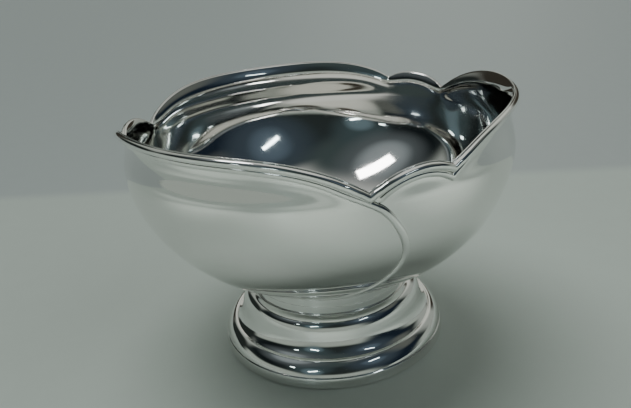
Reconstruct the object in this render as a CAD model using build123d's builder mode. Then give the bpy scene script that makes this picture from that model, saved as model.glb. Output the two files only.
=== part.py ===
"""Footed punch bowl in polished silver plate, built up from its separate soldered pieces.

Frame: millimetres, +Z up, origin on the bowl's axis in the plane that the foot rests on.
The rim is three-fold: three long petals alternate with three short lobes.  Angles on the rim are
measured anticlockwise from above, from the middle of a long petal, and are called "turn" here.
"""
import os
from math import cos, exp, radians, sin, sqrt

from build123d import *

# ---------------------------------------------------------------- driving dimensions
FOLDS = 3
FOLD_ANGLE = 360 / FOLDS
FIRST_PETAL_ANGLE = -129.5        # middle of the first long petal, from +X
PETAL_HALF_ANGLE = 49.4           # a long petal spans twice this, a short lobe the rest

SHEET = 1.5                       # wall of the spun bowl

# belly of the bowl: half an ellipse of revolution below the widest level
BELLY_RADIUS = 150.8
BELLY_LEVEL = 168.0
BELLY_DEPTH = 114.0
NECK_TAPER = 5.5                  # how far the wall draws in above the belly
NECK_LENGTH = 18.0
FLARE = 5.6                       # how far the rim rolls out again
FLARE_LENGTH = 4.6
FLARE_BLEND = 2.5                 # degrees of turn over which the flare softens the notches
WAVE = 2.6                        # the wall is flatter behind the petals, fuller behind the lobes
WAVE_LEVEL = 132.0
WAVE_SPREAD = 26.0
RIM_WAVE = 2.0
RIM_WAVE_LEVEL = 180.0            # the rim's own wave and swirl come in about this level
RIM_WAVE_LENGTH = 9.0
SWIRL = 1.4                       # the petals lean out a little towards the end of each turn

# heights of the scalloped edge
PETAL_TOP = 205.5
LOBE_RISE = 8.4
NOTCH_START = 187.0               # notch where a long petal begins
NOTCH_END = 180.5                 # notch where it ends, and its sweep leaves the rim
PETAL_SQUARENESS = 4.0
LOBE_SQUARENESS = 2.2

# sections and cutters of the bowl
RING_POINTS = 72
LOWER_RINGS = 14                  # sections of the loft between the bottom and the widest level
BOTTOM_PAD = 6.0                  # degrees of the belly's ellipse left flat at the bottom
UPPER_LEVELS = [173, 178, 183, 188, 193, 198, 203, 208]
EDGE_POINTS = 15                  # points along the cutter of one petal or lobe
CUTTER_SIDE = 1.4                 # the cutter runs out this much wider than the notches
SECTOR_POINTS = 7
TOOL_REACH = 230.0                # beyond the bowl in every direction

# applied wires
RIM_WIRE = 2.6                    # radius of the wire along the edge
RIM_WIRE_OUT = 1.5                # its centre lies this far outside the wall
STEP_WIRE = 2.7                   # radius of the wider, sunk wire below it
STEP_WIRE_SUNK = 0.2
STEP_BELOW_EDGE = 8.0
WIRE_GAP = 0.08                   # solder line between a wire and the wall
WIRE_PITCH = 4.0                  # degrees of turn between the sections of a wire
MITRE_RUN = 2.5                   # a wire is made this many degrees past a notch, then mitred there
NOTCH_MARGIN = 0.2                # degrees beside a notch where the edge's slope is taken

# the line of the sweep that each long petal throws down the belly: (turn, height)
SWEEP_LINE = [(49.8, 172.5), (53.6, 164.5), (57.0, 150.0), (58.5, 135.0), (57.5, 120.0),
              (54.0, 104.0), (47.5, 91.0), (37.0, 79.0), (24.0, 71.0)]
SWEEP_FADE = 0.2                  # last share of the moulding, over which it tapers to its tip
FADE_TIP = 0.12                   # size of that tip, as a share of the moulding's
SWEEP_POINTS = 24                 # sections of the moulding along the sweep
SWEEP_SPAN = 150.0                # degrees of turn that hold a whole petal moulding and its sweep
STEP_CLEAR = 2.2                  # degrees of turn by which a lobe's step wire clears the sweep

# collar between bowl and foot: three steps, widest at the bottom
COLLAR_FOOT_LEVEL = 48.0
COLLAR_STEPS = [(65.2, 53.9), (64.3, 59.5), (63.4, 64.6)]   # (radius, top level)
COLLAR_LEAN = 0.4
COLLAR_BORE = 60.5
SEAT_GAP = 0.1                    # solder line between the collar and the bowl

# foot
FOOT_SHEET = 1.5
BASE_RADIUS = 94.8
BAND_HEIGHT = 9.0
BAND_THICKNESS = 2.3
BAND_FOOT = (0.5, 0.6)            # chamfer at the table: inset from the base radius, level
BAND_SWELL = 0.2                  # inset of the band's middle
BAND_SHOULDER = (1.1, 8.3)        # where its side ends: inset, level
BAND_LIP = 1.7                    # inset of its top edge
# the foot's turned outline, as (radius, level): the round above the band, then the dome
ROUND_LINE = [(93.2, 9.3), (92.3, 11.6), (91.0, 14.2), (89.1, 17.0), (86.6, 19.4), (84.8, 20.2), (83.4, 19.7)]
DOME_LINE = [(83.4, 19.7), (81.0, 22.3), (79.0, 25.6), (77.2, 30.2), (75.9, 35.0), (74.6, 39.6), (72.9, 43.4),
             (70.2, 46.1), (66.6, 47.7)]
LINE_INSET = (0.8, 0.6)           # direction in which the inner surface is set off from that outline
THROAT_RADIUS = 56.0
FOOT_CLEARANCE = 0.8              # the foot's own edge stays off the table, inside the band

os.makedirs("parts", exist_ok=True)


# ---------------------------------------------------------------- the bowl's form
def turn_in_fold(turn):
    """The same turn, brought to -60..60 degrees about the nearest long petal."""
    return (turn + FOLD_ANGLE / 2) % FOLD_ANGLE - FOLD_ANGLE / 2


def edge_height(turn):
    """Height of the scalloped edge: square-shouldered petals, round lobes, sharp notches."""
    local = turn_in_fold(turn)
    if abs(local) <= PETAL_HALF_ANGLE:
        notch = NOTCH_START if local < 0 else NOTCH_END
        return PETAL_TOP - (PETAL_TOP - notch) * abs(local / PETAL_HALF_ANGLE) ** PETAL_SQUARENESS
    lobe_half = FOLD_ANGLE / 2 - PETAL_HALF_ANGLE
    across = (local % FOLD_ANGLE - FOLD_ANGLE / 2) / lobe_half
    chord = NOTCH_END + (NOTCH_START - NOTCH_END) * (across + 1) / 2
    return chord + LOBE_RISE * (1 - abs(across) ** LOBE_SQUARENESS)


def soft_edge_height(turn):
    """Height of the edge with its notches softened, which the flare of the rim follows."""
    beside = [edge_height(turn + step * FLARE_BLEND) for step in (-2, -1, 0, 1, 2)]
    return (beside[0] + 2 * beside[1] + 3 * beside[2] + 2 * beside[3] + beside[4]) / 9


def wall_radius(turn, height, inset=0.0):
    """Radius of the bowl's outer surface, or of the surface inset from it by the sheet."""
    wave = radians(FOLDS * turn)
    below = min((height - BELLY_LEVEL) / (BELLY_DEPTH - inset), 0.0)
    above = max((height - BELLY_LEVEL) / NECK_LENGTH, 0.0)
    radius = (BELLY_RADIUS - inset) * sqrt(max(1 - below ** 2, 0.0)) - NECK_TAPER * (1 - exp(-above ** 2))
    lip = soft_edge_height(turn)
    radius += 2 * FLARE / (1 + exp((lip - height) / FLARE_LENGTH))
    radius -= WAVE * exp(-((height - WAVE_LEVEL) / WAVE_SPREAD) ** 2) * cos(wave)
    near_rim = 1 / (1 + exp((RIM_WAVE_LEVEL - height) / RIM_WAVE_LENGTH))
    return radius + near_rim * (SWIRL * sin(wave) - RIM_WAVE * cos(wave))


def place(turn, radius, height):
    """A point of the bowl, from its turn, radius and height."""
    angle = radians(FIRST_PETAL_ANGLE + turn)
    return (radius * cos(angle), radius * sin(angle), height)


def wall_lean(turn, height):
    """Unit normal of the wall in its radial plane, as (outward, up)."""
    slope = wall_radius(turn, height + 0.5) - wall_radius(turn, height - 0.5)
    length = sqrt(1 + slope ** 2)
    return 1 / length, -slope / length


def on_wall(turn, height, outward=0.0):
    """A point at a distance from the wall's outer surface, along its normal."""
    out, up = wall_lean(turn, height)
    return place(turn, wall_radius(turn, height) + outward * out, height + outward * up)


def ring_of_wall(height, inset):
    """Points round the wall at one height."""
    turns = [360 * step / RING_POINTS for step in range(RING_POINTS)]
    return [place(turn, wall_radius(turn, height, inset), 0)[:2] for turn in turns]


def steps_between(first, last, count):
    """Evenly spaced values, both ends included."""
    return [first + (last - first) * index / (count - 1) for index in range(count)]


def filled_bowl(inset):
    """The solid inside the wall's outer surface, or inside its inner one when inset by the sheet."""
    depth = BELLY_DEPTH - inset
    swings = [radians(angle) for angle in steps_between(BOTTOM_PAD, 90, LOWER_RINGS)]
    levels = [BELLY_LEVEL - depth * cos(swing) for swing in swings] + UPPER_LEVELS
    with BuildPart() as form:
        for height in levels:
            with BuildSketch(Plane.XY.offset(height)):
                with BuildLine():
                    Spline(*ring_of_wall(height, inset), periodic=True)
                make_face()
        loft()
    return form.part


def sector(first, last):
    """An upright wedge of the whole bowl between two turns."""
    corners = [place(turn, TOOL_REACH, 0)[:2] for turn in steps_between(first, last, SECTOR_POINTS)]
    with BuildPart() as wedge:
        with BuildSketch(Plane.XY):
            with BuildLine():
                Polyline((0, 0), *corners, close=True)
            make_face()
        extrude(amount=TOOL_REACH)
    return wedge.part


def above_edge(first, last):
    """The stock to cut away above the scalloped edge between two notches."""
    middle = (first + last) / 2
    inward = 1e-6                 # keeps each end on its own side of the notch
    facing = Plane(origin=(0, 0, 0), x_dir=place(middle + 90, 1, 0), z_dir=place(middle, 1, 0))
    line = []
    for turn in steps_between(first + inward, last - inward, EDGE_POINTS):
        height = edge_height(turn)
        line.append((wall_radius(turn, height) * sin(radians(turn - middle)), height))
    left = (line[0][0] * CUTTER_SIDE, line[0][1])
    right = (line[-1][0] * CUTTER_SIDE, line[-1][1])
    with BuildPart() as stock:
        with BuildSketch(facing):
            with BuildLine():
                Spline(*line)
                Polyline(line[-1], right, (right[0], TOOL_REACH), (left[0], TOOL_REACH), left, line[0])
            make_face()
        extrude(amount=TOOL_REACH)
        add(sector(first, last), mode=Mode.INTERSECT)
    return stock.part


petal_start, petal_end = -PETAL_HALF_ANGLE, PETAL_HALF_ANGLE
lobe_start, lobe_end = PETAL_HALF_ANGLE, FOLD_ANGLE - PETAL_HALF_ANGLE

with BuildPart() as bowl_body:
    add(filled_bowl(0))
    add(filled_bowl(SHEET), mode=Mode.SUBTRACT)
    for first, last in ((petal_start, petal_end), (lobe_start, lobe_end)):
        stock = above_edge(first, last)
        for fold in range(FOLDS):
            add(stock, rotation=(0, 0, fold * FOLD_ANGLE), mode=Mode.SUBTRACT)
bowl_body.part.label = "bowl_body"
export_step(bowl_body.part, "parts/bowl_body.step")


# ---------------------------------------------------------------- applied wires
def edge_line(first, last, below):
    """Turns and heights of a line a little below the edge, run on past both notches."""
    line = []
    for turn in steps_between(first - MITRE_RUN, last + MITRE_RUN, 2 + round((last - first) / WIRE_PITCH)):
        inside = min(max(turn, first + NOTCH_MARGIN), last - NOTCH_MARGIN)
        rise = edge_height(inside + NOTCH_MARGIN) - edge_height(inside - NOTCH_MARGIN)
        slope = rise / (2 * BELLY_RADIUS * radians(NOTCH_MARGIN))
        height = edge_height(inside) + slope * BELLY_RADIUS * radians(turn - inside)
        line.append((turn, height - below * sqrt(1 + slope ** 2)))
    return line


def fitted_wire(line, radius, outward, fade=0.0):
    """A round wire with its back flattened to the wall, along a line of turns and heights."""
    spots = [Vector(*on_wall(turn, height, WIRE_GAP)) for turn, height in line]
    with BuildPart() as wire:
        for index, (turn, height) in enumerate(line):
            before = spots[max(index - 1, 0)]
            after = spots[min(index + 1, len(spots) - 1)]
            out = Vector(*on_wall(turn, height, 1)) - Vector(*on_wall(turn, height))
            left = (len(line) - 1 - index) / (len(line) - 1)
            size = min(1.0, FADE_TIP + left / fade) if fade else 1.0
            with BuildSketch(Plane(origin=spots[index], x_dir=out, z_dir=after - before)):
                with Locations((outward * size, 0)):
                    Circle(radius * size)
                Rectangle(4 * radius, 4 * radius, align=(Align.MIN, Align.CENTER), mode=Mode.INTERSECT)
        loft()
    return wire.part


with BuildPart() as long_rim:
    add(fitted_wire(edge_line(petal_start, petal_end, RIM_WIRE), RIM_WIRE, RIM_WIRE_OUT))
    add(sector(petal_start, petal_end), mode=Mode.INTERSECT)

with BuildPart() as short_rim:
    add(fitted_wire(edge_line(lobe_start, lobe_end, RIM_WIRE), RIM_WIRE, RIM_WIRE_OUT))
    add(sector(lobe_start, lobe_end), mode=Mode.INTERSECT)

with BuildLine() as sweep_chart:
    Spline(*SWEEP_LINE)
sweep_spots = [sweep_chart.line @ share for share in steps_between(0, 1, SWEEP_POINTS)]
sweep_line = [(spot.X, spot.Y) for spot in sweep_spots]
petal_step_line = edge_line(petal_start, petal_end, STEP_BELOW_EDGE)
with BuildPart() as sweep_moulding:
    add(fitted_wire(petal_step_line[:-2] + sweep_line, STEP_WIRE, -STEP_WIRE_SUNK, SWEEP_FADE))
    add(sector(petal_start, petal_start + SWEEP_SPAN), mode=Mode.INTERSECT)

with BuildPart() as short_step:
    add(fitted_wire(edge_line(lobe_start, lobe_end, STEP_BELOW_EDGE), STEP_WIRE, -STEP_WIRE_SUNK))
    add(sector(lobe_start + STEP_CLEAR, lobe_end), mode=Mode.INTERSECT)

wires = {"long_petal_rim_wire": long_rim, "short_lobe_rim_wire": short_rim,
         "petal_sweep_moulding": sweep_moulding, "short_lobe_step_wire": short_step}
for name, pattern in wires.items():
    for fold in range(FOLDS):
        with BuildPart() as wire:
            add(pattern.part, rotation=(0, 0, fold * FOLD_ANGLE))
        wire.part.label = f"{name}_{fold + 1}"
        export_step(wire.part, f"parts/{wire.part.label}.step")


# ---------------------------------------------------------------- collar and foot
with BuildPart() as stepped_collar:
    with BuildSketch(Plane.XZ):
        with BuildLine():
            corners = [(COLLAR_BORE, COLLAR_FOOT_LEVEL)]
            bottom = COLLAR_FOOT_LEVEL
            for radius, top in COLLAR_STEPS:
                corners += [(radius, bottom), (radius - COLLAR_LEAN, top)]
                bottom = top
            Polyline(*corners, (COLLAR_BORE, COLLAR_STEPS[-1][1]), close=True)
        make_face()
        with Locations((0, BELLY_LEVEL)):
            Ellipse(BELLY_RADIUS + SEAT_GAP, BELLY_DEPTH + SEAT_GAP, mode=Mode.SUBTRACT)
    revolve(axis=Axis.Z)
stepped_collar.part.label = "stepped_collar"
export_step(stepped_collar.part, "parts/stepped_collar.step")


def foot_form(inset):
    """The solid inside the foot's outer surface, or inside its inner one when inset."""
    wall = BASE_RADIUS - BAND_THICKNESS - inset
    inward, down = LINE_INSET[0] * inset, LINE_INSET[1] * inset
    round_line = [(radius - inward, level - down) for radius, level in ROUND_LINE]
    dome_line = [(radius - inward, level - down) for radius, level in DOME_LINE]
    start, landing = round_line[0], (dome_line[-1][0], COLLAR_FOOT_LEVEL - inset)
    with BuildPart() as form:
        with BuildSketch(Plane.XZ):
            with BuildLine():
                Polyline((0, FOOT_CLEARANCE), (wall, FOOT_CLEARANCE), (wall, start[1]), start)
                Spline(*round_line)
                Spline(*dome_line)
                Polyline(dome_line[-1], landing, (0, landing[1]), (0, FOOT_CLEARANCE))
            make_face()
        revolve(axis=Axis.Z)
    return form.part


with BuildPart() as foot:
    add(foot_form(0))
    add(foot_form(FOOT_SHEET), mode=Mode.SUBTRACT)
    with BuildSketch(Plane.XY):
        Circle(THROAT_RADIUS)
    extrude(amount=COLLAR_FOOT_LEVEL, mode=Mode.SUBTRACT)
foot.part.label = "foot"
export_step(foot.part, "parts/foot.step")

band_inside = BASE_RADIUS - BAND_THICKNESS
band_edge = (BASE_RADIUS - BAND_FOOT[0], 0)
band_foot = (BASE_RADIUS, BAND_FOOT[1])
band_shoulder = (BASE_RADIUS - BAND_SHOULDER[0], BAND_SHOULDER[1])
band_lip = (BASE_RADIUS - BAND_LIP, BAND_HEIGHT)
with BuildPart() as base_band:
    with BuildSketch(Plane.XZ):
        with BuildLine():
            Polyline(band_lip, (band_inside, BAND_HEIGHT), (band_inside, 0), band_edge, band_foot)
            ThreePointArc(band_foot, (BASE_RADIUS - BAND_SWELL, BAND_HEIGHT / 2), band_shoulder)
            Line(band_shoulder, band_lip)
        make_face()
    revolve(axis=Axis.Z)
base_band.part.label = "base_band"
export_step(base_band.part, "parts/base_band.step")
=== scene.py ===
"""Polished silver punch bowl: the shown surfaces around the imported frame.  Metres, +Z up.

Angles on the rim are measured anticlockwise from above, from the middle of a long petal, and are
called "turn", in degrees, as in the CAD part.  Outlines of turned pieces are (radius, level) points.
"""
from math import cos, pi, radians, sin, sqrt, tan

import bmesh
import bpy
import numpy as np
from mathutils import Matrix, Vector


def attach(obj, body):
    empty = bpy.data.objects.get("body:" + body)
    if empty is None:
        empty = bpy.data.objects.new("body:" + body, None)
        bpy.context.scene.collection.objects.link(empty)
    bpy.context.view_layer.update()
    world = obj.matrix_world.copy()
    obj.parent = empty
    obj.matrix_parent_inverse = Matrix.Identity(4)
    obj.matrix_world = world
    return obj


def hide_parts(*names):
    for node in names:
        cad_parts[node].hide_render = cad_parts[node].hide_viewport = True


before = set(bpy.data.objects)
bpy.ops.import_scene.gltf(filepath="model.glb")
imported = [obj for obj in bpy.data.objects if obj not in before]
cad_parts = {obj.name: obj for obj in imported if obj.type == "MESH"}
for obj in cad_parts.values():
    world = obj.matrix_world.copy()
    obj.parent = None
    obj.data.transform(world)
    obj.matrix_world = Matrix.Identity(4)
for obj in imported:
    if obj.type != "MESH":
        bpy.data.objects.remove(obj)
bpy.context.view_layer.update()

# ---------------------------------------------------------------- dimensions, as in the CAD part
FOLDS = 3
FOLD_ANGLE = 360 / FOLDS
FIRST_PETAL_ANGLE = -129.5        # middle of the first long petal, from +X
PETAL_HALF_ANGLE = 49.4           # a long petal spans twice this, a short lobe the rest
SHEET = 0.0015                    # wall of the spun bowl
BELLY_RADIUS, BELLY_LEVEL, BELLY_DEPTH = 0.1508, 0.168, 0.114
NECK_TAPER, NECK_LENGTH = 0.0055, 0.018
FLARE, FLARE_LENGTH, FLARE_BLEND = 0.0056, 0.0046, 2.5
WAVE, WAVE_LEVEL, WAVE_SPREAD = 0.0026, 0.132, 0.026
RIM_WAVE, SWIRL = 0.0020, 0.0014
RIM_WAVE_LEVEL, RIM_WAVE_LENGTH = 0.180, 0.009
PETAL_TOP, LOBE_RISE = 0.2055, 0.0084
NOTCH_START, NOTCH_END = 0.187, 0.1805
PETAL_SQUARENESS, LOBE_SQUARENESS = 4.0, 2.2

# applied wires: radius, how far the centre lies outside the wall or is sunk in it, place
RIM_WIRE, RIM_WIRE_OUT = 0.0026, 0.0015
STEP_WIRE, STEP_WIRE_SUNK, STEP_BELOW_EDGE = 0.0027, 0.0002, 0.0080
WIRE_GAP = 0.00008
MITRE_RUN, NOTCH_MARGIN, WIRE_PITCH = 2.5, 0.2, 4.0
SWEEP_LINE = [(49.8, 0.1725), (53.6, 0.1645), (57.0, 0.150), (58.5, 0.135), (57.5, 0.120),
              (54.0, 0.104), (47.5, 0.091), (37.0, 0.079), (24.0, 0.071)]      # (turn, height)
SWEEP_FADE, FADE_TIP = 0.2, 0.12
STEP_CLEAR = 2.2

# collar, foot and base band
COLLAR_FOOT_LEVEL = 0.048
COLLAR_STEPS = [(0.0652, 0.0539), (0.0643, 0.0595), (0.0634, 0.0646)]
COLLAR_LEAN, COLLAR_BORE = 0.0004, 0.0605
FOOT_SHEET = 0.0015
BASE_RADIUS, BAND_HEIGHT, BAND_THICKNESS = 0.0948, 0.009, 0.0023
ROUND_LINE = [(0.0932, 0.0093), (0.0923, 0.0116), (0.0910, 0.0142), (0.0891, 0.0170), (0.0866, 0.0194),
              (0.0848, 0.0202), (0.0834, 0.0197)]
DOME_LINE = [(0.0834, 0.0197), (0.0810, 0.0223), (0.0790, 0.0256), (0.0772, 0.0302), (0.0759, 0.0350),
             (0.0746, 0.0396), (0.0729, 0.0434), (0.0702, 0.0461), (0.0666, 0.0477)]
LINE_INSET = (0.8, 0.6)           # direction in which the foot's inner surface is set off
THROAT_RADIUS = 0.056
FOOT_CLEARANCE = 0.0008

# ---------------------------------------------------------------- details of the shown surfaces only
MOUTH_SHRINK = 0.00006            # keeps the shown rim a hair inside the frame's box
LIP_ROUND, LIP_FLAT = 0.0006, 0.35            # the bowl's edge: drop of its inner corner, flat share
COLLAR_SEAT_GAPS = (0.00015, 0.0002)          # below the bowl, at the collar's outside and bore
# the band's side, upward from the table: (inset from the base radius, level)
BAND_SIDE = [(0.0005, 0.0), (0.0, 0.0006), (0.00005, 0.0025), (0.0002, 0.0045), (0.00055, 0.0065),
             (0.0011, 0.0083), (0.0017, BAND_HEIGHT)]
COLLAR_ROUNDING, FOOT_ROUNDING, BAND_ROUNDING = 0.0004, 0.00025, 0.0004

# how finely the surfaces are divided
PETAL_COLUMNS, LOBE_COLUMNS = 124, 32
FIRST_SWING, LOWER_ROWS, UPPER_ROWS, LIP_ROWS = 1.0, 62, 40, 5
WIRE_STEP, WIRE_SIDES, SWEEP_STEPS = 0.6, 25, 7      # degrees of turn, points round, steps a span
TURNED_COLUMNS = 320
ROUND_STEPS, DOME_STEPS, CORNER_POINTS = 5, 6, 7
COLLAR_SPACING, FOOT_SPACING, BAND_SPACING = 0.0004, 0.0020, 0.0006


# ---------------------------------------------------------------- the bowl's form
def edge_height(turn):
    """Height of the scalloped edge at each turn."""
    local = (turn + FOLD_ANGLE / 2) % FOLD_ANGLE - FOLD_ANGLE / 2
    notch = np.where(local < 0, NOTCH_START, NOTCH_END)
    petal = PETAL_TOP - (PETAL_TOP - notch) * np.abs(local / PETAL_HALF_ANGLE) ** PETAL_SQUARENESS
    across = (local % FOLD_ANGLE - FOLD_ANGLE / 2) / (FOLD_ANGLE / 2 - PETAL_HALF_ANGLE)
    chord = NOTCH_END + (NOTCH_START - NOTCH_END) * (across + 1) / 2
    crown = 1 - np.minimum(np.abs(across), 1.0) ** LOBE_SQUARENESS
    return np.where(np.abs(local) <= PETAL_HALF_ANGLE, petal, chord + LOBE_RISE * crown)


def soft_edge_height(turn):
    """Height of the edge with its notches softened, which the flare of the rim follows."""
    weights = {-2: 1, -1: 2, 0: 3, 1: 2, 2: 1}
    beside = [weight * edge_height(turn + step * FLARE_BLEND) for step, weight in weights.items()]
    return sum(beside) / sum(weights.values())


def wall_radius(turn, height):
    """Radius of the bowl's outer surface."""
    wave = np.radians(FOLDS * turn)
    below = np.minimum((height - BELLY_LEVEL) / BELLY_DEPTH, 0.0)
    above = np.maximum((height - BELLY_LEVEL) / NECK_LENGTH, 0.0)
    radius = BELLY_RADIUS * np.sqrt(np.maximum(1 - below ** 2, 0.0))
    radius = radius - NECK_TAPER * (1 - np.exp(-above ** 2))
    radius = radius + 2 * FLARE / (1 + np.exp((soft_edge_height(turn) - height) / FLARE_LENGTH))
    radius = radius - WAVE * np.exp(-((height - WAVE_LEVEL) / WAVE_SPREAD) ** 2) * np.cos(wave)
    near_rim = 1 / (1 + np.exp((RIM_WAVE_LEVEL - height) / RIM_WAVE_LENGTH))
    return radius + near_rim * (SWIRL * np.sin(wave) - RIM_WAVE * np.cos(wave)) - MOUTH_SHRINK * near_rim


def on_wall(turn, height):
    """Points of the bowl's outer surface."""
    angle, radius = np.radians(FIRST_PETAL_ANGLE + turn), wall_radius(turn, height)
    return np.stack([radius * np.cos(angle), radius * np.sin(angle), height + 0 * angle], -1)


def unit(vectors):
    return vectors / np.linalg.norm(vectors, axis=-1, keepdims=True)


def wall_normal(turn, height):
    """Outward unit normal of the wall, from points a little to each side."""
    beside, apart = 0.05, 0.00005
    lowest = BELLY_LEVEL - BELLY_DEPTH * 0.99999
    around = on_wall(turn + beside, height) - on_wall(turn - beside, height)
    up = on_wall(turn, height + apart) - on_wall(turn, np.maximum(height - apart, lowest))
    return unit(np.cross(around, up))


# ---------------------------------------------------------------- mesh helpers
def make_object(name, verts, faces, material, nodes):
    """A smooth-shaded piece that rides on the root body and stands for its CAD nodes."""
    mesh = bpy.data.meshes.new(name)
    mesh.from_pydata([tuple(v) for v in verts], [], faces)
    work = bmesh.new()
    work.from_mesh(mesh)
    bmesh.ops.recalc_face_normals(work, faces=work.faces)
    work.to_mesh(mesh)
    work.free()
    mesh.polygons.foreach_set("use_smooth", [True] * len(mesh.polygons))
    mesh.materials.append(material)
    obj = bpy.data.objects.new(name, mesh)
    bpy.context.scene.collection.objects.link(obj)
    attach(obj, "root")
    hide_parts(*nodes)
    return obj


def grid_faces(rows, columns, wrap_rows=False, wrap_columns=False):
    """Quads of a grid of rows x columns vertices."""
    faces = []
    for row in range(rows if wrap_rows else rows - 1):
        low, high = row * columns, (row + 1) % rows * columns
        for column in range(columns if wrap_columns else columns - 1):
            across = (column + 1) % columns
            faces.append((low + column, low + across, high + across, high + column))
    return faces


def catmull_rom(points, per_span):
    """A smooth line through points, with the same number of steps in every span."""
    points = np.array(points, float)
    padded = np.vstack([2 * points[0] - points[1], points, 2 * points[-1] - points[-2]])
    share = np.linspace(0, 1, per_span, endpoint=False)[:, None]
    spans = []
    for index in range(len(points) - 1):
        a, b, c, d = padded[index:index + 4]
        spans.append(0.5 * (2 * b + (c - a) * share + (2 * a - 5 * b + 4 * c - d) * share ** 2
                            + (3 * b - a - 3 * c + d) * share ** 3))
    return np.vstack(spans + [points[-1:]])


def rounded_outline(corners, radius, spacing):
    """A closed outline with every true corner rounded and its straight runs divided."""
    nearly_straight = radians(86)
    corners = [np.array(corner, float) for corner in corners]
    line = []
    for index, corner in enumerate(corners):
        before, after = corners[index - 1], corners[(index + 1) % len(corners)]
        to_before, to_after = before - corner, after - corner
        room = min(np.linalg.norm(to_before), np.linalg.norm(to_after))
        to_before, to_after = unit(to_before), unit(to_after)
        half = np.arccos(np.clip(to_before @ to_after, -1, 1)) / 2
        if half > nearly_straight:
            line.append(corner)
            continue
        reach = min(radius / tan(half), 0.45 * room)
        start, end = corner + to_before * reach, corner + to_after * reach
        for share in np.linspace(0, 1, CORNER_POINTS):
            line.append((1 - share) ** 2 * start + 2 * share * (1 - share) * corner + share ** 2 * end)
    full = []
    for index, spot in enumerate(line):
        after = line[(index + 1) % len(line)]
        count = max(1, int(np.linalg.norm(after - spot) / spacing))
        full += [spot + (after - spot) * step / count for step in range(count)]
    return np.array(full)


def turned(name, outline, material, nodes):
    """A ring turned round the axis from a closed outline."""
    angles = np.linspace(0, 2 * pi, TURNED_COLUMNS, endpoint=False)
    radii, levels = outline[:, 0], outline[:, 1:2]
    verts = np.stack([np.outer(radii, np.cos(angles)), np.outer(radii, np.sin(angles)),
                      np.repeat(levels, TURNED_COLUMNS, 1)], -1).reshape(-1, 3)
    faces = grid_faces(len(outline), TURNED_COLUMNS, True, True)
    return make_object(name, verts, faces, material, nodes)


# ---------------------------------------------------------------- node helpers
def add_node(tree, kind, **settings):
    """A node whose settings are its properties or, where it has none of that name, its sockets."""
    node = tree.nodes.new(kind)
    for key, value in settings.items():
        if hasattr(node, key):
            setattr(node, key, value)
        else:
            node.inputs[key.replace("_", " ")].default_value = value
    return node


def add_ramp(tree, stops):
    """A colour ramp with a stop at each (place, colour)."""
    node = tree.nodes.new("ShaderNodeValToRGB")
    elements = node.color_ramp.elements
    for index, (place, colour) in enumerate(stops):
        element = elements[index] if index < 2 else elements.new(place)
        element.position = place
        element.color = (*colour, 1)
    return node


def new_material(name, **settings):
    """A material with its tree, its shader with the settings made, and its object coordinates."""
    material = bpy.data.materials.new(name)
    material.use_nodes = True
    tree = material.node_tree
    shader = tree.nodes["Principled BSDF"]
    for key, value in settings.items():
        shader.inputs[key.replace("_", " ")].default_value = value
    return material, tree, shader, add_node(tree, "ShaderNodeTexCoord").outputs["Object"]


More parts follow.
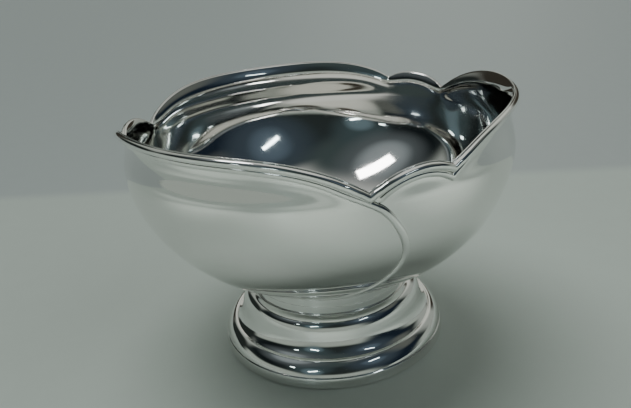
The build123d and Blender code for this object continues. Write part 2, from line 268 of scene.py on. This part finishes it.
# ---------------------------------------------------------------- polished silver
def silver(name, tint, gloss, lathe):
    """Mirror-polished silver: soft haze, polishing scratches, turning rings, slight waviness.

    gloss is the range of roughness and lathe the depth of the turning rings, 0 for none.
    """
    material, tree, shader, spot = new_material(name, Metallic=1.0)
    link = tree.links.new

    haze = add_node(tree, "ShaderNodeTexNoise", Scale=22.0, Detail=4.0, Roughness=0.55)
    link(spot, haze.inputs["Vector"])
    smear = add_node(tree, "ShaderNodeTexNoise", Scale=140.0, Detail=5.0, Roughness=0.65)
    link(spot, smear.inputs["Vector"])
    both = add_node(tree, "ShaderNodeMath", operation="MULTIPLY")
    link(haze.outputs["Fac"], both.inputs[0])
    link(smear.outputs["Fac"], both.inputs[1])
    rough = add_node(tree, "ShaderNodeMapRange", From_Min=0.12, From_Max=0.42,
                     To_Min=gloss[0], To_Max=gloss[1])
    link(both.outputs[0], rough.inputs["Value"])
    link(rough.outputs["Result"], shader.inputs["Roughness"])

    dulled = [value * 0.965 for value in tint]
    colour = add_ramp(tree, [(0.3, dulled), (0.7, tint)])
    link(haze.outputs["Fac"], colour.inputs["Fac"])
    link(colour.outputs["Color"], shader.inputs["Base Color"])

    buckle = add_node(tree, "ShaderNodeTexNoise", Scale=24.0, Detail=1.0, Roughness=0.4)
    link(spot, buckle.inputs["Vector"])
    wavy = add_node(tree, "ShaderNodeBump", Strength=1.0, Distance=0.00004)
    link(buckle.outputs["Fac"], wavy.inputs["Height"])
    stretch = add_node(tree, "ShaderNodeMapping", Rotation=(0.5, 0.3, 0.2), Scale=(260.0, 260.0, 2600.0))
    link(spot, stretch.inputs["Vector"])
    hairline = add_node(tree, "ShaderNodeTexNoise", Scale=1.0, Detail=2.0, Roughness=0.5)
    link(stretch.outputs["Vector"], hairline.inputs["Vector"])
    scratched = add_node(tree, "ShaderNodeBump", Strength=1.0, Distance=0.0000006)
    link(hairline.outputs["Fac"], scratched.inputs["Height"])
    link(wavy.outputs["Normal"], scratched.inputs["Normal"])
    last = scratched
    if lathe:
        # rings that follow the turned surface: noise over its distance from the axis less its level
        parts = add_node(tree, "ShaderNodeSeparateXYZ")
        link(spot, parts.inputs[0])
        flat = add_node(tree, "ShaderNodeCombineXYZ")
        link(parts.outputs["X"], flat.inputs["X"])
        link(parts.outputs["Y"], flat.inputs["Y"])
        reach = add_node(tree, "ShaderNodeVectorMath", operation="LENGTH")
        link(flat.outputs[0], reach.inputs[0])
        along = add_node(tree, "ShaderNodeMath", operation="SUBTRACT")
        link(reach.outputs["Value"], along.inputs[0])
        link(parts.outputs["Z"], along.inputs[1])
        rings = add_node(tree, "ShaderNodeTexNoise", noise_dimensions="1D", Scale=420.0, Detail=3.0)
        link(along.outputs[0], rings.inputs["W"])
        turned_bump = add_node(tree, "ShaderNodeBump", Strength=1.0, Distance=lathe)
        link(rings.outputs["Fac"], turned_bump.inputs["Height"])
        link(scratched.outputs["Normal"], turned_bump.inputs["Normal"])
        last = turned_bump
    link(last.outputs["Normal"], shader.inputs["Normal"])
    return material


bowl_silver = silver("bowl_silver", (0.90, 0.895, 0.875), (0.03, 0.09), 0.0000012)
mount_silver = silver("mount_silver", (0.91, 0.905, 0.885), (0.04, 0.11), 0)
foot_silver = silver("foot_silver", (0.90, 0.895, 0.875), (0.03, 0.08), 0.0000015)


# ---------------------------------------------------------------- the bowl itself
def turns_of_rim():
    """Turns of the bowl's mesh columns, with one exactly at every notch."""
    petal_span = 2 * PETAL_HALF_ANGLE
    lobe_span = FOLD_ANGLE - petal_span
    turns = []
    for fold in range(FOLDS):
        start = fold * FOLD_ANGLE - PETAL_HALF_ANGLE
        turns += list(start + petal_span * np.arange(PETAL_COLUMNS) / PETAL_COLUMNS)
        start += petal_span
        turns += list(start + lobe_span * np.arange(LOBE_COLUMNS) / LOBE_COLUMNS)
    return np.array(turns)


def bowl():
    """Both skins of the bowl and the rounded edge between them, closed at the bottom."""
    turns = turns_of_rim()
    columns = len(turns)
    swings = np.radians(np.linspace(FIRST_SWING, 90.0, LOWER_ROWS))
    shares = np.linspace(0, 1, UPPER_ROWS + 1)[1:]
    top = edge_height(turns)
    heights = [np.full(columns, level) for level in BELLY_LEVEL - BELLY_DEPTH * np.cos(swings)]
    heights += [BELLY_LEVEL + (top - BELLY_LEVEL) * share for share in shares]
    outer = [on_wall(turns, height) for height in heights]
    inner = [spots - SHEET * wall_normal(turns, height) for spots, height in zip(outer, heights)]
    # towards the rim the inner skin is brought level with the outer one
    for row, share in enumerate(shares[1:], LOWER_ROWS + 1):
        inner[row][:, 2] += share * (heights[row] - inner[row][:, 2])
    lip = []
    for share in np.linspace(0, 1, LIP_ROWS + 2)[1:-1]:
        bend = radians(90) * share
        spots = outer[-1] + (inner[-1] - outer[-1]) * (LIP_FLAT + (1 - LIP_FLAT) * sin(bend))
        lip.append(spots - np.array([0, 0, LIP_ROUND * (1 - cos(bend))]))
    inner[-1] = inner[-1] - np.array([0, 0, LIP_ROUND])
    rings = outer + lip + inner[::-1]
    bottom = BELLY_LEVEL - BELLY_DEPTH
    verts = np.vstack(rings + [[[0, 0, bottom]], [[0, 0, bottom + SHEET]]])
    faces = grid_faces(len(rings), columns, wrap_columns=True)
    last = (len(rings) - 1) * columns
    outside, inside = len(verts) - 2, len(verts) - 1
    for column in range(columns):
        across = (column + 1) % columns
        faces.append((outside, across, column))
        faces.append((inside, last + column, last + across))
    return make_object("bowl_shell", verts, faces, bowl_silver, ["bowl_body"])


bowl()


# ---------------------------------------------------------------- applied wires
def edge_line(first, last, below, pitch):
    """Turns and heights a little below the edge, run on past both notches."""
    count = 2 + round((last - first) / pitch)
    turns = np.linspace(first - MITRE_RUN, last + MITRE_RUN, count)
    inside = np.clip(turns, first + NOTCH_MARGIN, last - NOTCH_MARGIN)
    run = BELLY_RADIUS * radians(1)
    rise = edge_height(inside + NOTCH_MARGIN) - edge_height(inside - NOTCH_MARGIN)
    slope = rise / (2 * run * NOTCH_MARGIN)
    heights = edge_height(inside) + slope * run * (turns - inside) - below * np.sqrt(1 + slope ** 2)
    return np.stack([turns, heights], -1)


def cut_square(work, turn, keep):
    """Cuts a wire off upright at a turn, keeps its later (1) or earlier (-1) side and caps the end."""
    angle = radians(FIRST_PETAL_ANGLE + turn)
    across = Vector((-sin(angle), cos(angle), 0)) * -keep
    everything = work.verts[:] + work.edges[:] + work.faces[:]
    found = bmesh.ops.bisect_plane(work, geom=everything, dist=1e-7, plane_co=(0, 0, 0),
                                   plane_no=across, clear_outer=True)
    rim = [item for item in found["geom_cut"] if isinstance(item, bmesh.types.BMEdge)]
    bmesh.ops.holes_fill(work, edges=rim)


def fitted_wire(name, line, radius, outward, fade, cuts, fold, node):
    """A round wire flattened against the wall along a line of turns and heights.

    It tapers over the last share of the line given in fade, and is cut off at the turns in cuts.
    """
    turns, heights = line[:, 0] + fold * FOLD_ANGLE, line[:, 1]
    out = wall_normal(turns, heights)
    spots = on_wall(turns, heights) + WIRE_GAP * out
    ahead = unit(np.gradient(spots, axis=0))
    side = unit(np.cross(ahead, out))
    reach = np.arccos(-outward / radius)
    swings = np.linspace(-reach, reach, WIRE_SIDES)
    size = np.ones(len(line))
    if fade:
        size = np.minimum(1.0, FADE_TIP + np.linspace(1, 0, len(line)) / fade)
    rings = []
    for index in range(len(line)):
        arc = (outward + radius * np.cos(swings))[:, None] * out[index]
        arc = arc + (radius * np.sin(swings))[:, None] * side[index]
        rings.append(spots[index] + size[index] * arc)
    faces = grid_faces(len(rings), WIRE_SIDES, wrap_columns=True)
    faces.append(tuple(range(WIRE_SIDES)))
    faces.append(tuple((len(rings) - 1) * WIRE_SIDES + step for step in range(WIRE_SIDES)))
    piece = make_object(name, np.vstack(rings), faces, mount_silver, [node])
    work = bmesh.new()
    work.from_mesh(piece.data)
    for turn, keep in cuts:
        cut_square(work, turn + fold * FOLD_ANGLE, keep)
    bmesh.ops.recalc_face_normals(work, faces=work.faces)
    for face in work.faces:
        face.smooth = len(face.verts) < 8
    for edge in work.edges:
        edge.smooth = len(edge.link_faces) < 2 or edge.calc_face_angle(0) < radians(50)
    work.to_mesh(piece.data)
    work.free()


petal_start, petal_end = -PETAL_HALF_ANGLE, PETAL_HALF_ANGLE
lobe_start, lobe_end = PETAL_HALF_ANGLE, FOLD_ANGLE - PETAL_HALF_ANGLE
petal_ends, lobe_ends = [(petal_start, 1), (petal_end, -1)], [(lobe_start, 1), (lobe_end, -1)]
petal_rim = edge_line(petal_start, petal_end, RIM_WIRE, WIRE_STEP)
lobe_rim = edge_line(lobe_start, lobe_end, RIM_WIRE, WIRE_STEP)
petal_step = edge_line(petal_start, petal_end, STEP_BELOW_EDGE, WIRE_PITCH)[:-2]
sweep = catmull_rom(np.vstack([petal_step, SWEEP_LINE]), SWEEP_STEPS)
lobe_step = edge_line(lobe_start, lobe_end, STEP_BELOW_EDGE, WIRE_STEP)
step_ends = [(lobe_start + STEP_CLEAR, 1), (lobe_end, -1)]
WIRES = [
    ("long_petal_wire", "long_petal_rim_wire", petal_rim, RIM_WIRE, RIM_WIRE_OUT, 0, petal_ends),
    ("short_lobe_wire", "short_lobe_rim_wire", lobe_rim, RIM_WIRE, RIM_WIRE_OUT, 0, lobe_ends),
    ("sweep", "petal_sweep_moulding", sweep, STEP_WIRE, -STEP_WIRE_SUNK, SWEEP_FADE, petal_ends[:1]),
    ("lobe_step", "short_lobe_step_wire", lobe_step, STEP_WIRE, -STEP_WIRE_SUNK, 0, step_ends),
]
for fold in range(FOLDS):
    number = fold + 1
    for piece, node, line, radius, outward, fade, cuts in WIRES:
        fitted_wire(f"{piece}_{number}", line, radius, outward, fade, cuts, fold, f"{node}_{number}")


# ---------------------------------------------------------------- collar, foot and base band
def belly_level(radius):
    """Level of the bowl's plain belly at a radius."""
    return BELLY_LEVEL - BELLY_DEPTH * sqrt(1 - (radius / BELLY_RADIUS) ** 2)


def collar_outline():
    """Three steps, widest at the bottom, and a top that follows the bowl."""
    corners = [(COLLAR_BORE, COLLAR_FOOT_LEVEL)]
    bottom = COLLAR_FOOT_LEVEL
    for radius, level in COLLAR_STEPS:
        corners += [(radius, bottom), (radius - COLLAR_LEAN, level)]
        bottom = level
    top_radius = corners[-1][0]
    corners[-1] = (top_radius, belly_level(top_radius) - COLLAR_SEAT_GAPS[0])
    corners.append((COLLAR_BORE, belly_level(COLLAR_BORE) - COLLAR_SEAT_GAPS[1]))
    return rounded_outline(corners, COLLAR_ROUNDING, COLLAR_SPACING)


def foot_outline():
    """The spun sheet of the foot: its outer line up to the throat and its inner line back down."""
    wall = BASE_RADIUS - BAND_THICKNESS
    outside = np.vstack([catmull_rom(ROUND_LINE, ROUND_STEPS), catmull_rom(DOME_LINE, DOME_STEPS)[1:]])
    inset = outside - FOOT_SHEET * np.array(LINE_INSET)
    under = COLLAR_FOOT_LEVEL - FOOT_SHEET
    line = [(wall, FOOT_CLEARANCE), (wall, ROUND_LINE[0][1]), *outside]
    line += [(DOME_LINE[-1][0], COLLAR_FOOT_LEVEL), (THROAT_RADIUS, COLLAR_FOOT_LEVEL)]
    line += [(THROAT_RADIUS, under), (inset[-1][0], under), *inset[::-1]]
    line += [(wall - FOOT_SHEET, inset[0][1]), (wall - FOOT_SHEET, FOOT_CLEARANCE)]
    return rounded_outline(line, FOOT_ROUNDING, FOOT_SPACING)


def band_outline():
    """The band that the bowl stands on: upright inside, slightly swelled outside."""
    inside = BASE_RADIUS - BAND_THICKNESS
    corners = [(inside, BAND_HEIGHT), (inside, 0)]
    corners += [(BASE_RADIUS - inset, level) for inset, level in BAND_SIDE]
    return rounded_outline(corners, BAND_ROUNDING, BAND_SPACING)


turned("collar_rings", collar_outline(), mount_silver, ["stepped_collar"])
turned("spun_foot", foot_outline(), foot_silver, ["foot"])
turned("foot_band", band_outline(), foot_silver, ["base_band"])


# ---------------------------------------------------------------- floor
FLOOR_REACH, FLOOR_DROP = 40.0, 0.0001
FLOOR_TINT, FAR_FLOOR_TINT = (0.62, 0.69, 0.64), (0.50, 0.55, 0.545)
FAR_DIRECTION = (0.094, 1.0, 0.0)             # the floor's tone changes along this direction
FAR_START, FAR_END = 0.335, 0.375


def paper(name, tint, far_tint):
    """Satin table paper with a fine grain, which turns a shade darker well behind the bowl."""
    material, tree, shader, spot = new_material(name, Roughness=0.42, Specular_IOR_Level=0.45)
    link = tree.links.new
    behind = add_node(tree, "ShaderNodeVectorMath", operation="DOT_PRODUCT")
    link(spot, behind.inputs[0])
    behind.inputs[1].default_value = FAR_DIRECTION
    share = add_node(tree, "ShaderNodeMapRange", interpolation_type="SMOOTHSTEP",
                     From_Min=FAR_START, From_Max=FAR_END)
    link(behind.outputs["Value"], share.inputs["Value"])
    tone = add_node(tree, "ShaderNodeMix", data_type="RGBA")
    link(share.outputs["Result"], tone.inputs["Factor"])
    tone.inputs["A"].default_value = (*tint, 1)
    tone.inputs["B"].default_value = (*far_tint, 1)
    grain = add_node(tree, "ShaderNodeTexNoise", Scale=35.0, Detail=6.0, Roughness=0.6)
    link(spot, grain.inputs["Vector"])
    speckle = add_ramp(tree, [(0.0, (0.95, 0.95, 0.95)), (1.0, (1, 1, 1))])
    link(grain.outputs["Fac"], speckle.inputs["Fac"])
    colour = add_node(tree, "ShaderNodeMix", data_type="RGBA", blend_type="MULTIPLY")
    colour.inputs["Factor"].default_value = 1.0
    link(tone.outputs["Result"], colour.inputs["A"])
    link(speckle.outputs["Color"], colour.inputs["B"])
    link(colour.outputs["Result"], shader.inputs["Base Color"])
    return material


floor_mesh = bpy.data.meshes.new("floor")
floor_corners = [(-1, -1), (1, -1), (1, 1), (-1, 1)]
floor_mesh.from_pydata([(x * FLOOR_REACH, y * FLOOR_REACH, -FLOOR_DROP) for x, y in floor_corners],
                       [], [(0, 1, 2, 3)])
floor_mesh.materials.append(paper("table_paper", FLOOR_TINT, FAR_FLOOR_TINT))
floor = bpy.data.objects.new("floor", floor_mesh)
bpy.context.scene.collection.objects.link(floor)


# ---------------------------------------------------------------- studio, which the silver mirrors
def bearing(azimuth, elevation):
    """Unit vector seen from the bowl: azimuth 0 is the -Y side and grows toward +X, in degrees."""
    flat = cos(radians(elevation))
    return Vector((sin(radians(azimuth)) * flat, -cos(radians(azimuth)) * flat, sin(radians(elevation))))


# the studio's brightness by height: sine of the elevation, colour
STUDIO_LEVELS = [(0.0, (0.33, 0.375, 0.335)), (0.13, (0.32, 0.365, 0.325)), (0.20, (0.020, 0.026, 0.025)),
                 (0.60, (0.022, 0.030, 0.031)), (0.90, (0.050, 0.064, 0.064)), (1.0, (0.06, 0.075, 0.075))]
# soft areas over it: azimuth, elevation, half-angles where it is full and where it has faded, colour
STUDIO_AREAS = [
    (180, 12, 62, 78, (0.31, 0.34, 0.31)),            # wall behind the table
    (165, 50, 20, 46, (0.62, 0.64, 0.58)),            # and its brightest part
    (0, 90, 20, 38, (0.70, 0.72, 0.68)),              # ceiling
    (-20, 56, 8, 30, (0.045, 0.062, 0.062)),
    (-75, 34, 14, 30, (0.006, 0.009, 0.010)),         # dark corners of the room, left and right
    (62, 22, 20, 38, (0.009, 0.015, 0.024)),
    (82, 40, 6, 22, (0.10, 0.11, 0.10)),
    (-28, 27, 4, 26, (0.042, 0.062, 0.066)),
    (42, 33, 0, 34, (0.040, 0.056, 0.070)),           # glow about the far lamp
    (40, 33, 0, 15, (0.080, 0.112, 0.142)),
    (-64, 52, 0, 36, (0.085, 0.100, 0.105)),          # glow about the window
    (-66, 54, 4, 20, (0.24, 0.275, 0.285)),
    (-25, 18, 3, 13, (0.11, 0.16, 0.18)),             # glow about the near lamp
    (-120, 8, 14, 24, (0.018, 0.023, 0.021)),         # dark things beside the table
    (-160, 5, 16, 27, (0.032, 0.030, 0.024)),
    (147, 9, 8, 17, (0.040, 0.034, 0.026)),
]

world = bpy.data.worlds.new("studio")
bpy.context.scene.world = world
world.use_nodes = True
tree = world.node_tree
direction = add_node(tree, "ShaderNodeTexCoord").outputs["Generated"]
parts = add_node(tree, "ShaderNodeSeparateXYZ")
tree.links.new(direction, parts.inputs[0])
levels = add_ramp(tree, STUDIO_LEVELS)
tree.links.new(parts.outputs["Z"], levels.inputs["Fac"])
light = levels.outputs["Color"]
for azimuth, elevation, full, faded, colour in STUDIO_AREAS:
    toward = add_node(tree, "ShaderNodeVectorMath", operation="DOT_PRODUCT")
    tree.links.new(direction, toward.inputs[0])
    toward.inputs[1].default_value = bearing(azimuth, elevation)
    share = add_node(tree, "ShaderNodeMapRange", interpolation_type="SMOOTHSTEP",
                     From_Min=cos(radians(faded)), From_Max=cos(radians(full)))
    tree.links.new(toward.outputs["Value"], share.inputs["Value"])
    mix = add_node(tree, "ShaderNodeMix", data_type="RGBA")
    tree.links.new(share.outputs["Result"], mix.inputs["Factor"])
    tree.links.new(light, mix.inputs["A"])
    mix.inputs["B"].default_value = (*colour, 1)
    light = mix.outputs["Result"]
tree.links.new(light, tree.nodes["Background"].inputs["Color"])
world.cycles_visibility.diffuse = False


# ---------------------------------------------------------------- lamps
LAMP_AIM = Vector((0, 0, 0.12))
POOL_TINT, POOL_SOFTNESS = (1, 1, 0.96), 0.1
# lamps seen only in the metal: the bearings of both ends, distance, width, radiance, tint
TUBES = {
    "window": ((-73, 73), (-80, 55), 1.4, 0.19, 12.0, (1, 1, 0.98)),
    "far_lamp": ((47, 34.5), (34, 31.5), 1.5, 0.045, 9.0, (0.82, 0.96, 1)),
    "near_lamp": ((-28, 12.5), (-19, 17.0), 1.5, 0.05, 9.0, (0.85, 1, 1)),
    "side_lamp": ((-47, 19), (-42, 18.5), 1.5, 0.045, 8.0, (0.85, 1, 1)),
}
# even light over the stage, not seen in the metal: azimuth, elevation, strength, spread, tint
SUNS = {
    "ceiling_key": (-140, 74, 1.5, 46, (0.94, 1, 0.965)),
    "right_fill": (75, 42, 0.5, 60, (0.94, 1, 0.97)),
}
# soft pools of light on the table outside the view, which brighten the belly: x, y, height, cone, power
TABLE_POOLS = [(-0.05, -0.64, 1.0, 50, 22), (0.62, -0.35, 1.0, 46, 26), (-0.65, -0.35, 1.0, 46, 18),
               (0.0, -1.8, 2.0, 60, 60), (-1.8, -0.6, 2.0, 60, 56), (1.8, -0.8, 2.0, 60, 64)]


def add_lamp(name, kind, tint, **settings):
    """A lamp with its settings, which the camera itself doesn't see."""
    lamp = bpy.data.lights.new(name, kind)
    lamp.color = tint
    for key, value in settings.items():
        setattr(lamp, key, value)
    obj = bpy.data.objects.new(name, lamp)
    obj.visible_camera = False
    bpy.context.scene.collection.objects.link(obj)
    return obj


for name, (first, last, distance, width, radiance, tint) in TUBES.items():
    ends = [bearing(*first) * distance, bearing(*last) * distance]
    middle, along = (ends[0] + ends[1]) / 2, ends[1] - ends[0]
    length = along.length
    along.normalize()
    across = middle.normalized().cross(along).normalized()
    facing = Matrix((along, across, along.cross(across))).transposed().to_4x4()
    lamp = add_lamp(name, "AREA", tint, shape="RECTANGLE", size=length, size_y=width,
                    energy=radiance * pi * length * width)
    lamp.matrix_world = Matrix.Translation(LAMP_AIM + middle) @ facing
    lamp.visible_diffuse = False

for name, (azimuth, elevation, strength, spread, tint) in SUNS.items():
    lamp = add_lamp(name, "SUN", tint, energy=strength, angle=radians(spread))
    lamp.rotation_mode = "QUATERNION"
    lamp.rotation_quaternion = (-bearing(azimuth, elevation)).to_track_quat("-Z", "Y")
    lamp.visible_glossy = False

for number, (x, y, height, cone, power) in enumerate(TABLE_POOLS, 1):
    lamp = add_lamp(f"table_pool_{number}", "SPOT", POOL_TINT, energy=power, spot_size=radians(cone),
                    spot_blend=1.0, shadow_soft_size=POOL_SOFTNESS)
    lamp.location = (x, y, height)
    lamp.visible_glossy = False


# ---------------------------------------------------------------- camera
CAMERA_DISTANCE, CAMERA_ELEVATION, CAMERA_ROLL = 0.583, 32.8, -5.0
CAMERA_TARGET = Vector((-0.007, 0, 0.114))
SENSOR_WIDTH, FOCAL_LENGTH = 36.0, 36.51

camera = bpy.data.cameras.new("camera")
camera.sensor_width = SENSOR_WIDTH
camera.lens = FOCAL_LENGTH
camera.clip_start = 0.01
camera_obj = bpy.data.objects.new("camera", camera)
bpy.context.scene.collection.objects.link(camera_obj)
eye = bearing(0, CAMERA_ELEVATION) * CAMERA_DISTANCE
look = (CAMERA_TARGET - eye).normalized()
level = look.cross(Vector((0, 0, 1))).normalized()
up = level.cross(look)
roll = radians(CAMERA_ROLL)
right = level * cos(roll) + up * sin(roll)
above = up * cos(roll) - level * sin(roll)
camera_obj.matrix_world = Matrix.Translation(eye) @ Matrix((right, above, -look)).transposed().to_4x4()
bpy.context.scene.camera = camera_obj
